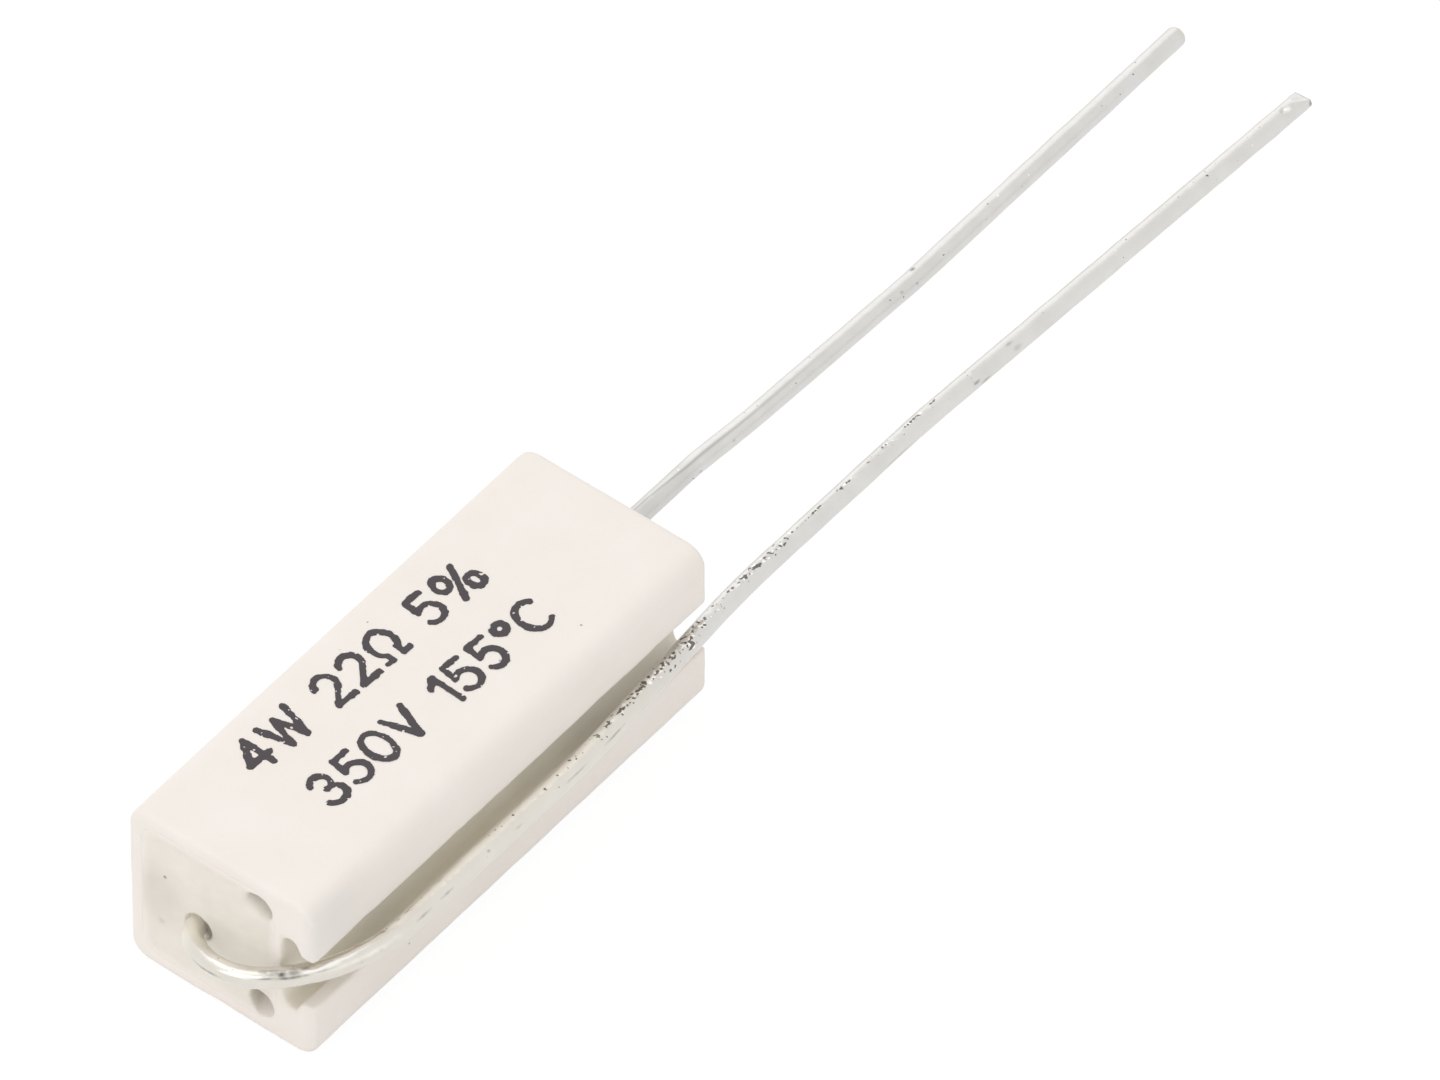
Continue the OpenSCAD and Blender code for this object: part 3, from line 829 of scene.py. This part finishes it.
# Dark marks on the return lead: along, angle, half length, half width and strength. The
# blobs from 7.95 to 9.35 mm are a painted reflection of the dark groove, those at 5.8 mm
# and from 14.1 to 24.9 mm at angles past 130 are painted contact shadow, and the faint one
# at 11.6 mm is painted shade over a lamp's highlight; the rest are scuffs and dirt
SCUFFS_AND_SHADE = ((7.95, 107, 0.2, 13, 0.8), (8.3, 114, 0.25, 17, 0.9), (8.6, 122, 0.25, 20, 0.85),
          (8.95, 122, 0.25, 18, 1.0), (9.35, 112, 0.2, 12, 0.7), (8.0, 142, 0.8, 6, 0.6),
          (8.9, 147, 0.6, 8, 1.0), (9.9, 144, 0.6, 5, 0.5), (5.8, 174, 0.6, 8, 0.65),
          (11.6, 158, 1.3, 16, 0.17), (12.5, 77, 0.12, 8, 0.7), (13.3, 73, 0.08, 7, 0.8),
          (13.8, 71, 0.14, 7, 0.6), (14.6, 70, 0.07, 6, 0.7), (15.6, 70, 0.1, 6, 0.5),
          (14.1, 152, 0.4, 7, 0.45), (15.4, 152, 0.35, 7, 0.45), (17.8, 138, 0.08, 8, 0.5),
          (19.4, 152, 0.2, 7, 0.3), (22.6, 158, 0.6, 6, 0.45), (24.9, 159, 0.6, 6, 0.6),
          (41.8, 193, 0.8, 7, 0.4), (46.2, 161, 0.16, 9, 0.8), (46.65, 190, 0.25, 9, 0.6),
          (48.4, 158, 0.2, 14, 0.45), (48.2, 113, 0.2, 9, 0.35))
STRAIGHT_SCUFFS = ((9.55, 180, 0.08, 9, 0.5), (10.85, 106, 0.2, 6, 0.3),
                   (11.35, 155, 0.07, 8, 0.4), (13.15, 105, 0.15, 6, 0.35),
                   (20.6, 131, 0.07, 9, 0.45), (21.35, 150, 0.07, 9, 0.45),
                   (21.65, 71, 0.12, 13, 0.8))
# Painted highlights, pale spots of tin where the wire shines, in the same form
PAINTED_HIGHLIGHTS = ((6.3, 90, 0.9, 33, 1.1), (9.65, 128, 0.4, 18, 2.0), (10.2, 113, 0.5, 24, 2.0),
         (10.8, 100, 0.55, 24, 2.0), (11.4, 91, 0.6, 20, 2.0), (12.1, 86, 0.6, 16, 1.4))
# Clusters of crust, in the same form
CLUSTERS = ((28.2, 106, 0.4, 15, 1.0), (28.6, 148, 0.35, 11, 1.0), (29.0, 113, 0.3, 13, 1.0),
            (29.9, 148, 0.35, 13, 1.0), (30.0, 120, 0.5, 24, 1.0), (30.9, 118, 0.3, 14, 1.2),
            (33.2, 95, 0.45, 10, 0.95), (34.6, 110, 0.4, 11, 0.9), (35.7, 113, 0.3, 9, 0.9),
            (36.3, 94, 0.4, 10, 1.0), (37.7, 94, 0.5, 10, 1.05), (39.2, 99, 0.6, 11, 1.05),
            (41.6, 88, 0.25, 11, 1.1), (43.1, 88, 0.8, 11, 1.2), (44.3, 84, 0.25, 10, 1.1))
# The cropped tip's scuffs, painted highlight and nick, by the distance back from the tip;
# the nick's strength is its depth in mm
TIP_SCUFFS = ((0.03, 180, 0.1, 20, 0.6), (1.24, 108, 0.09, 16, 0.2))
TIP_PAINTED_HIGHLIGHT = ((1.0, 118, 0.13, 15, 1.1),)
TIP_NICK = ((1.17, 105, 0.12, 20, 0.06),)
# Soft edge of a spot, which ends at this many half lengths and half widths
SPOT_REACH = 1.3

# Crust on the return lead, as stops of the distance along it: how crowded it is, the
# angle of its middle and its spread to each side
CRUST_CROWD = ((12, 0), (18, 0.3), (22, 0.6), (26, 0.9), (27.5, 1), (30.6, 1), (31.4, 0.65),
               (34, 0.75), (40, 0.5), (50, 0.15), (64, 0.1))
CRUST_MIDDLE = ((22, 84), (28, 92), (33, 97))
CRUST_SPREAD = ((24, 24), (28, 36), (31, 36), (34, 24))
# Patches of crust, drawn out to twice their width along the case: their mean, their
# contrast, how much crust lies between them and how much more on them
DRAWN_OUT = (0.5, 1, 1)
PATCH_CELL = 0.8
PATCH_MEAN, PATCH_CONTRAST = 0.5, 0.8
CRUST_BETWEEN, CRUST_MORE = 0.4, 0.7
# Pale coating on the return lead: the middle of its strip along the top, which paints a
# highlight, and the strength there, its half width, soft edge and wavering, all in
# degrees, and the thin coating all round
HIGHLIGHT_STRIP_MIDDLE = ((9, 50), (11, 56), (14, 80), (20, 80))
HIGHLIGHT_STRIP = ((9.3, 0), (9.9, 0.9), (24, 0.85), (30, 0))
HIGHLIGHT_STRIP_HALF_WIDTH, HIGHLIGHT_STRIP_SOFTNESS = 42, 24
HIGHLIGHT_STRIP_WAVER = ((6, 0.45, 35), (7, 0.16, 38))
THIN_FILM = ((4.2, 0.6), (5.1, 0.22), (24, 0.25), (30, 0))
# Tarnish and polish on the return lead, and how polished it is under its painted highlights
TARNISH = ((3.8, 0.6), (4.8, 0.35), (5.4, 0.3), (26, 0.3), (31, 0.05))
LOOP_POLISH = ((4.8, 0), (5.4, 0.42), (8.8, 0.42), (9.8, 0))
HIGHLIGHT_POLISH = 0.8
# Dark band on the return lead's crusted stretch, and a line of painted contact shadow up
# its inner side
DARK_BAND = ((31, 0), (33, 1), (40, 0.6), (52, 0.2))
DARK_BAND_STRENGTH, DARK_BAND_MIDDLE, DARK_BAND_SPREAD = 0.28, 96, 9
SHADOW_LINE = ((10.5, 0), (11.5, 0.5), (14.5, 0.3), (17, 0))
SHADOW_LINE_MIDDLE, SHADOW_LINE_SPREAD = 64, 7
# Raggedness of the scuffs and painted shade, as a mean and a depth, and of that line, as a
# mean and its most
SCUFF_RAGGEDNESS, SCUFF_RAGGEDNESS_DEPTH = 0.8, 0.5
SHADOW_LINE_BREAKUP, SHADOW_LINE_BREAKUP_MOST = 0.8, 1.4
# Straight lead: faint crust, a dark line from the cement on, a grey stretch at its
# start and tarnish at its tip
FAINT_CRUST, FAINT_CRUST_MIDDLE, FAINT_CRUST_SPREAD = 0.1, 92, 25
DARK_LINE = ((7, 0.45), (9, 0.42), (14, 0.22), (17, 0.05))
DARK_LINE_MIDDLE = ((7, 80), (9.3, 104))
DARK_LINE_SPREAD = 8
GREY_START = ((6.5, 0.13), (8.8, 0.1), (9.8, 0.02))
TIP_TARNISH, TIP_TARNISH_LENGTH = 0.45, 0.45


def all_spots(along, around, spots):
    """Strongest of several oval spots, each full in its middle and 0 past its edge."""
    total = np.zeros_like(along)
    for middle, angle, half_length, half_width, strength in spots:
        gap = np.hypot((along - middle) / half_length, (around - angle) / half_width)
        total = np.maximum(total, strength * falling(gap, 1, SPOT_REACH))
    return total


def return_crust(points, along, around):
    """Crust in patches along the return lead's top, and in clusters."""
    noise = smooth_noise(points * DRAWN_OUT, PATCH_CELL, seed=33)
    patch = np.clip(PATCH_MEAN + PATCH_CONTRAST * noise, 0, 1)
    on_top = bell(around, profile(along, CRUST_MIDDLE), profile(along, CRUST_SPREAD))
    crust = profile(along, CRUST_CROWD) * on_top * (CRUST_BETWEEN + CRUST_MORE * patch)
    return np.maximum(crust, all_spots(along, around, CLUSTERS))


def return_film_and_highlight(points, along, around):
    """Strip of pale coating along the return lead's top, which paints a highlight there, and a thin
    coating all round it.
    """
    gap = np.abs(around - profile(along, HIGHLIGHT_STRIP_MIDDLE) + layered_noise(points, HIGHLIGHT_STRIP_WAVER))
    strip = rising(-gap, -HIGHLIGHT_STRIP_HALF_WIDTH, HIGHLIGHT_STRIP_SOFTNESS) * profile(along, HIGHLIGHT_STRIP)
    return np.maximum(strip, profile(along, THIN_FILM))


def return_scuff_and_shade(points, along, around, to_tip):
    """Scuffs and painted shade, the dark band, the line of painted shadow and the tip's scuffs on
    the return lead.
    """
    patchiness = SCUFF_RAGGEDNESS + SCUFF_RAGGEDNESS_DEPTH * smooth_noise(points, cell=0.15, seed=36)
    broken = SHADOW_LINE_BREAKUP + smooth_noise(points, cell=0.25, seed=39)
    dark_band = DARK_BAND_STRENGTH * bell(around, DARK_BAND_MIDDLE, DARK_BAND_SPREAD) * profile(along, DARK_BAND)
    line = (profile(along, SHADOW_LINE) * np.clip(broken, 0, SHADOW_LINE_BREAKUP_MOST)
            * bell(around, SHADOW_LINE_MIDDLE, SHADOW_LINE_SPREAD))
    return np.maximum.reduce([all_spots(along, around, SCUFFS_AND_SHADE) * patchiness, dark_band, line,
                              all_spots(to_tip, around, TIP_SCUFFS)])


def return_lead_marks(points, along, around, to_tip):
    """Values of the return lead's painted marks at its points."""
    painted_highlight = all_spots(along, around, PAINTED_HIGHLIGHTS) + all_spots(to_tip, around, TIP_PAINTED_HIGHLIGHT)
    painted_highlight = np.minimum(painted_highlight, 1)
    return {"crust": return_crust(points, along, around),
            "film_and_highlight": return_film_and_highlight(points, along, around) * (1 - painted_highlight),
            "tarnish": profile(along, TARNISH),
            "polish": np.maximum(profile(along, LOOP_POLISH), HIGHLIGHT_POLISH * painted_highlight),
            "painted_highlight": painted_highlight, "scuff_and_shade": return_scuff_and_shade(points, along, around, to_tip)}


def straight_lead_marks(points, along, around, to_tip):
    """Values of the straight lead's painted marks at its points."""
    patch = mottle(points * DRAWN_OUT, depth=0.5, cell=PATCH_CELL, seed=37)
    on_top = bell(around, FAINT_CRUST_MIDDLE, FAINT_CRUST_SPREAD)
    line = bell(around, profile(along, DARK_LINE_MIDDLE), DARK_LINE_SPREAD)
    scuff_and_shade = np.maximum.reduce([line * profile(along, DARK_LINE), profile(along, GREY_START),
                               all_spots(along, around, STRAIGHT_SCUFFS)])
    nothing = np.zeros_like(along)
    return {"crust": FAINT_CRUST * on_top * patch, "film_and_highlight": nothing,
            "tarnish": TIP_TARNISH * falling(to_tip, TIP_TARNISH_LENGTH),
            "polish": nothing, "painted_highlight": nothing, "scuff_and_shade": scuff_and_shade}


# Lumps of the tin's coat, which lies a little inside the nominal wire, and of its crust,
# and how far from the tip they stop
TIN_LUMPS = ((0.01, 1.1, 31), (0.005, 0.3, 32))
TIN_SHRINK = 0.004
CRUST_DEPTH = 0.03
CLEAN_TIP = 0.05


def wire_section(along, length, cropped):
    """Offsets of each ring's points to the left and upwards, for a wire with a flared
    weld and either a rounded tip or one that cutters squeezed to a blunt edge."""
    to_tip = length - along
    radius = LEAD_RADIUS + (WELD_RADIUS - LEAD_RADIUS) * falling(along, WELD_LENGTH)
    if not cropped:
        inset = np.clip(TIP_RADIUS - to_tip, 0, TIP_RADIUS)
        radius = radius - TIP_RADIUS + np.sqrt(TIP_RADIUS ** 2 - inset ** 2)
    around = np.linspace(0, 2 * math.pi, WIRE_SIDES, endpoint=False)
    left, rise = radius * np.cos(around), radius * np.sin(around)
    if cropped:
        squeezed = falling(to_tip, CROPPED_LENGTH)
        limit = LEAD_RADIUS + (CROPPED_THICKNESS / 2 - LEAD_RADIUS) * squeezed
        rise = np.clip(rise, -limit, limit)
    return left, rise


def tube_faces(rings):
    """Faces of a closed tube of rings, with a face over each end."""
    faces = []
    for ring in range(rings - 1):
        here, there = ring * WIRE_SIDES, (ring + 1) * WIRE_SIDES
        for i in range(WIRE_SIDES):
            j = (i + 1) % WIRE_SIDES
            faces.append((here + i, here + j, there + j, there + i))
    last = (rings - 1) * WIRE_SIDES
    faces.append(tuple(range(WIRE_SIDES - 1, -1, -1)))
    faces.append(tuple(range(last, last + WIRE_SIDES)))
    return faces


def make_lead(name, node, runs, x, heading, tilt, marks, cropped):
    """Swept wire with the tin's uneven coat, its weld and its tip."""
    path = np.array(walk(runs, x, heading, WIRE_STEP))
    gaps = np.hypot(*np.diff(path[:, :2], axis=0).T)
    along = np.concatenate([[0], np.cumsum(gaps)])[:, None]
    left, rise = wire_section(along, along[-1], cropped)
    angle = np.radians(path[:, 2])[:, None]
    turned = np.array([[1, 0, 0], [0, math.cos(tilt), -math.sin(tilt)],
                       [0, math.sin(tilt), math.cos(tilt)]])
    outward = np.stack([-np.sin(angle) * left, np.cos(angle) * left, rise], 2) @ turned
    centre = np.stack([path[:, :1], path[:, 1:2], 0 * angle], 2) @ turned + [0, AXIS_Y, AXIS_Z]
    points = centre + outward
    outward /= np.linalg.norm(outward, axis=2, keepdims=True) + TINY
    along = along + 0 * left
    around = np.tile(np.linspace(0, 360, WIRE_SIDES, endpoint=False), (len(path), 1))
    to_tip = along[-1:] - along
    painted_marks = marks(points, along, around, to_tip)
    lumps = layered_noise(points, TIN_LUMPS) - TIN_SHRINK
    lumps += CRUST_DEPTH * painted_marks["crust"] * smooth_noise(points, cell=0.13, seed=34)
    if cropped:
        lumps -= all_spots(to_tip, around, TIP_NICK)
    points += outward * (lumps * (to_tip > CLEAN_TIP))[..., None]
    lead = make_piece(name, points.reshape(-1, 3), tube_faces(len(path)), "tinned_lead")
    for mark, values in painted_marks.items():
        paint(lead, mark, values.ravel())
    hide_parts(node)


def make_leads():
    """Both leads, each from its cap's outer face."""
    make_lead("straight_wire", "straight_lead", straight_lead_runs(), CAP_FACE, 0, 0.0,
              straight_lead_marks, cropped=False)
    make_lead("return_wire", "return_lead", return_lead_runs(), -CAP_FACE, 180, LOOP_TILT,
              return_lead_marks, cropped=True)


# Marking, drawn as pen strokes in a cell one cap height tall

OHM = "\u03a9"
DEGREE = "\u00b0"


def arc(x, y, width, height, start, end, count=14):
    """Points on an ellipse about x, y from one angle to another, in degrees."""
    turns = np.radians(np.linspace(start, end, count))
    return [(x + width * math.cos(t), y + height * math.sin(t)) for t in turns]


# Width and strokes of each letter
GLYPHS = {
    " ": (0.3, []),
    "0": (0.66, [arc(0.33, 0.5, 0.33, 0.5, 0, 360, 28)]),
    "1": (0.3, [[(0.0, 0.76), (0.3, 1.0), (0.3, 0.0)]]),
    "2": (0.64, [arc(0.32, 0.7, 0.3, 0.3, 165, -38) + [(0.02, 0.0), (0.64, 0.0)]]),
    "3": (0.62, [arc(0.28, 0.75, 0.28, 0.25, 150, -90), arc(0.28, 0.27, 0.33, 0.27, 90, -155)]),
    "4": (0.7, [[(0.52, 0.0), (0.52, 1.0), (0.0, 0.3), (0.7, 0.3)]]),
    "5": (0.62, [[(0.58, 1.0), (0.1, 1.0), (0.05, 0.54)]
                 + arc(0.29, 0.32, 0.32, 0.32, 128, -145)]),
    "%": (1.16, [arc(0.22, 0.75, 0.2, 0.25, 0, 360, 20), arc(0.94, 0.25, 0.2, 0.25, 0, 360, 20),
                 [(0.3, 0.0), (0.86, 1.0)]]),
    "W": (1.04, [[(0.0, 1.0), (0.26, 0.0), (0.52, 0.9), (0.78, 0.0), (1.04, 1.0)]]),
    "V": (0.72, [[(0.0, 1.0), (0.36, 0.0), (0.72, 1.0)]]),
    "C": (0.7, [arc(0.4, 0.5, 0.4, 0.5, 48, 312, 24)]),
    DEGREE: (0.38, [arc(0.19, 0.82, 0.19, 0.18, 0, 360, 16)]),
    OHM: (0.82, [arc(0.41, 0.56, 0.37, 0.44, -52, 232, 26) + [(0.2, 0.0), (0.0, 0.0)],
                 [(0.61, 0.24), (0.6, 0.0), (0.82, 0.0)]]),
}
# Lines of marking: the words, the x and y of their lower left corner, and their length
MARKING = ((f"4W 22{OHM} 5%", (-6.95, 1.5), 12.1), (f"350V 155{DEGREE}C", (-6.5, -1.55), 11.7))
MARKING_TURN = -2.5
CAP_HEIGHT = 1.45
GLYPH_GAP = 0.3
STROKE_WIDTH = 0.29
INK_THICKNESS = 0.02
INK_STEP = 0.035
INK_MARGIN = 0.3
INK_RAGGEDNESS = ((0.035, 0.16, 41), (0.03, 0.5, 42))
PINHOLE_LEVEL = 0.62
PINHOLE_EDGE = 0.05


def stroke_segments(words, length):
    """Ends of the pen's straight moves along one line of marking."""
    advance = sum(GLYPHS[letter][0] + GLYPH_GAP for letter in words) - GLYPH_GAP
    stretch = length / (advance * CAP_HEIGHT)
    starts, ends, x = [], [], 0.0
    for letter in words:
        width, strokes = GLYPHS[letter]
        for stroke in strokes:
            placed = [((x + px) * CAP_HEIGHT * stretch, py * CAP_HEIGHT) for px, py in stroke]
            starts += placed[:-1]
            ends += placed[1:]
        x += width + GLYPH_GAP
    return np.array(starts), np.array(ends)


def distance_to_strokes(flat, words, length):
    """Distance of points on the marked face from the nearest stroke."""
    nearest = np.full(flat.shape[:-1], np.inf)
    for start, end in zip(*stroke_segments(words, length)):
        move = end - start
        share = np.clip((flat - start) @ move / max(move @ move, TINY), 0, 1)
        gap = np.linalg.norm(flat - start - share[..., None] * move, axis=-1)
        nearest = np.minimum(nearest, gap)
    return nearest


def make_marking():
    """Stamped ink, a thin skin with ragged edges and a few pinholes."""
    levels = INK_THICKNESS * np.array([-1.0, 0.0, 1.0])
    turn = math.radians(MARKING_TURN)
    for number, (words, corner, length) in enumerate(MARKING):
        axes = (np.arange(-INK_MARGIN, length + INK_MARGIN, INK_STEP),
                np.arange(-INK_MARGIN, CAP_HEIGHT + INK_MARGIN, INK_STEP), levels)
        flat = grid(axes)[:, :, 0, :2]
        own_layer = np.full((*flat.shape[:2], 1), number + 0.5)
        spots = np.concatenate([flat, own_layer], 2)
        edge = (distance_to_strokes(flat, words, length) - STROKE_WIDTH / 2
                + layered_noise(spots, INK_RAGGEDNESS))
        pinhole = smooth_noise(spots, cell=0.11, seed=43) > PINHOLE_LEVEL
        edge = np.where(pinhole, np.maximum(edge, PINHOLE_EDGE), edge)
        field = np.maximum(edge[..., None], np.abs(levels) - INK_THICKNESS / 2)
        points, faces = surface_mesh(field, axes)
        x = corner[0] + points[:, 0] * math.cos(turn) - points[:, 1] * math.sin(turn)
        y = corner[1] + points[:, 0] * math.sin(turn) + points[:, 1] * math.cos(turn)
        placed = np.stack([x, y, points[:, 2] + CASE_HEIGHT], 1)
        make_piece(f"marking_{number + 1}", placed, faces, "marking_ink")


# Camera, floor and lights

FLOOR_COLOUR = (0.9, 0.9, 0.9)
FLOOR_HALF_SIZE = 2000.0
FLOOR_DROP = 0.02
FLOOR_GLOW = 1.06
FLOOR_GLOW_SHARE = 0.85
WORLD_COLOUR = (1, 1, 1)
WORLD_LIGHT = 0.84
WORLD_SEEN = 1.0
# Soft boxes: name, azimuth, elevation, size in metres and power in watts
SOFT_BOXES = (("soft_box_back", 142, 25, 0.5, 0.27), ("soft_box_top", -155, 62, 0.28, 0.15),
              ("soft_box_left", -105, 35, 0.3, 0.3), ("soft_box_front", -10, 20, 0.35, 0.18))
SOFT_BOX_DISTANCE = 500.0


def face_target(name, data, azimuth, elevation, distance):
    """New camera or lamp at a distance from the camera's target, and turned to it."""
    thing = bpy.data.objects.new(name, data)
    bpy.context.scene.collection.objects.link(thing)
    a, e = math.radians(azimuth), math.radians(elevation)
    back = Vector((math.sin(a) * math.cos(e), -math.cos(a) * math.cos(e), math.sin(e)))
    thing.location = (Vector(CAMERA_TARGET) + back * distance) * MM
    thing.rotation_mode = "QUATERNION"
    thing.rotation_quaternion = (-back).to_track_quat("-Z", "Y")
    return thing


def make_camera():
    """Camera at the photograph's angle, with its scale at the target."""
    data = bpy.data.cameras.new("camera")
    data.sensor_width = SENSOR_WIDTH
    data.lens = SENSOR_WIDTH * PIXELS_PER_MM * CAMERA_DISTANCE / PHOTO_WIDTH
    data.clip_start = CLIP_START * MM
    data.clip_end = CLIP_END * MM
    bpy.context.scene.camera = face_target("camera", data, CAMERA_AZIMUTH, CAMERA_ELEVATION,
                                           CAMERA_DISTANCE)


def seen_ray(tree):
    """1 for a ray that shows a surface, also in metal or through glass, and 0 for one
    that only gathers its light."""
    path = tree.nodes.new("ShaderNodeLightPath")
    seen = path.outputs["Is Camera Ray"]
    for ray in ("Is Glossy Ray", "Is Transmission Ray"):
        seen = combine(tree, "MAXIMUM", seen, path.outputs[ray])
    return seen


def make_floor():
    """Pale floor. Seen directly or in the metal it has an added glow that brings it to
    white, through which the part's shadow still shows faintly."""
    material = bpy.data.materials.new("floor")
    material.use_nodes = True
    tree = material.node_tree
    tree.nodes.clear()
    diffuse = tree.nodes.new("ShaderNodeBsdfDiffuse")
    feed(tree, FLOOR_COLOUR, diffuse.inputs["Color"])
    glow = tree.nodes.new("ShaderNodeEmission")
    glow.inputs["Strength"].default_value = FLOOR_GLOW
    mix = tree.nodes.new("ShaderNodeMixShader")
    feed(tree, combine(tree, "MULTIPLY", seen_ray(tree), FLOOR_GLOW_SHARE), mix.inputs[0])
    feed(tree, diffuse.outputs[0], mix.inputs[1])
    feed(tree, glow.outputs[0], mix.inputs[2])
    output = tree.nodes.new("ShaderNodeOutputMaterial")
    feed(tree, mix.outputs[0], output.inputs["Surface"])
    half = FLOOR_HALF_SIZE * MM
    mesh = bpy.data.meshes.new("floor")
    mesh.from_pydata([(-half, -half, 0), (half, -half, 0), (half, half, 0), (-half, half, 0)],
                     [], [(0, 1, 2, 3)])
    mesh.materials.append(material)
    floor = bpy.data.objects.new("floor", mesh)
    bpy.context.scene.collection.objects.link(floor)
    floor.location.z = -FLOOR_DROP * MM


def make_lights():
    """Square soft boxes, and a world that looks white but lights a little less."""
    world = bpy.data.worlds.new("world")
    bpy.context.scene.world = world
    world.use_nodes = True
    tree = world.node_tree
    background = tree.nodes["Background"]
    feed(tree, WORLD_COLOUR, background.inputs["Color"])
    strength = remap(tree, seen_ray(tree), 0, 1, WORLD_LIGHT, WORLD_SEEN)
    feed(tree, strength, background.inputs["Strength"])
    for name, azimuth, elevation, size, power in SOFT_BOXES:
        data = bpy.data.lights.new(name, "AREA")
        data.size = size
        data.energy = power
        face_target(name, data, azimuth, elevation, SOFT_BOX_DISTANCE)


make_camera()
make_floor()
make_lights()
dress_nodes()
make_case()
make_cement()
make_leads()
make_marking()

bpy.context.scene.view_settings.view_transform = "Standard"
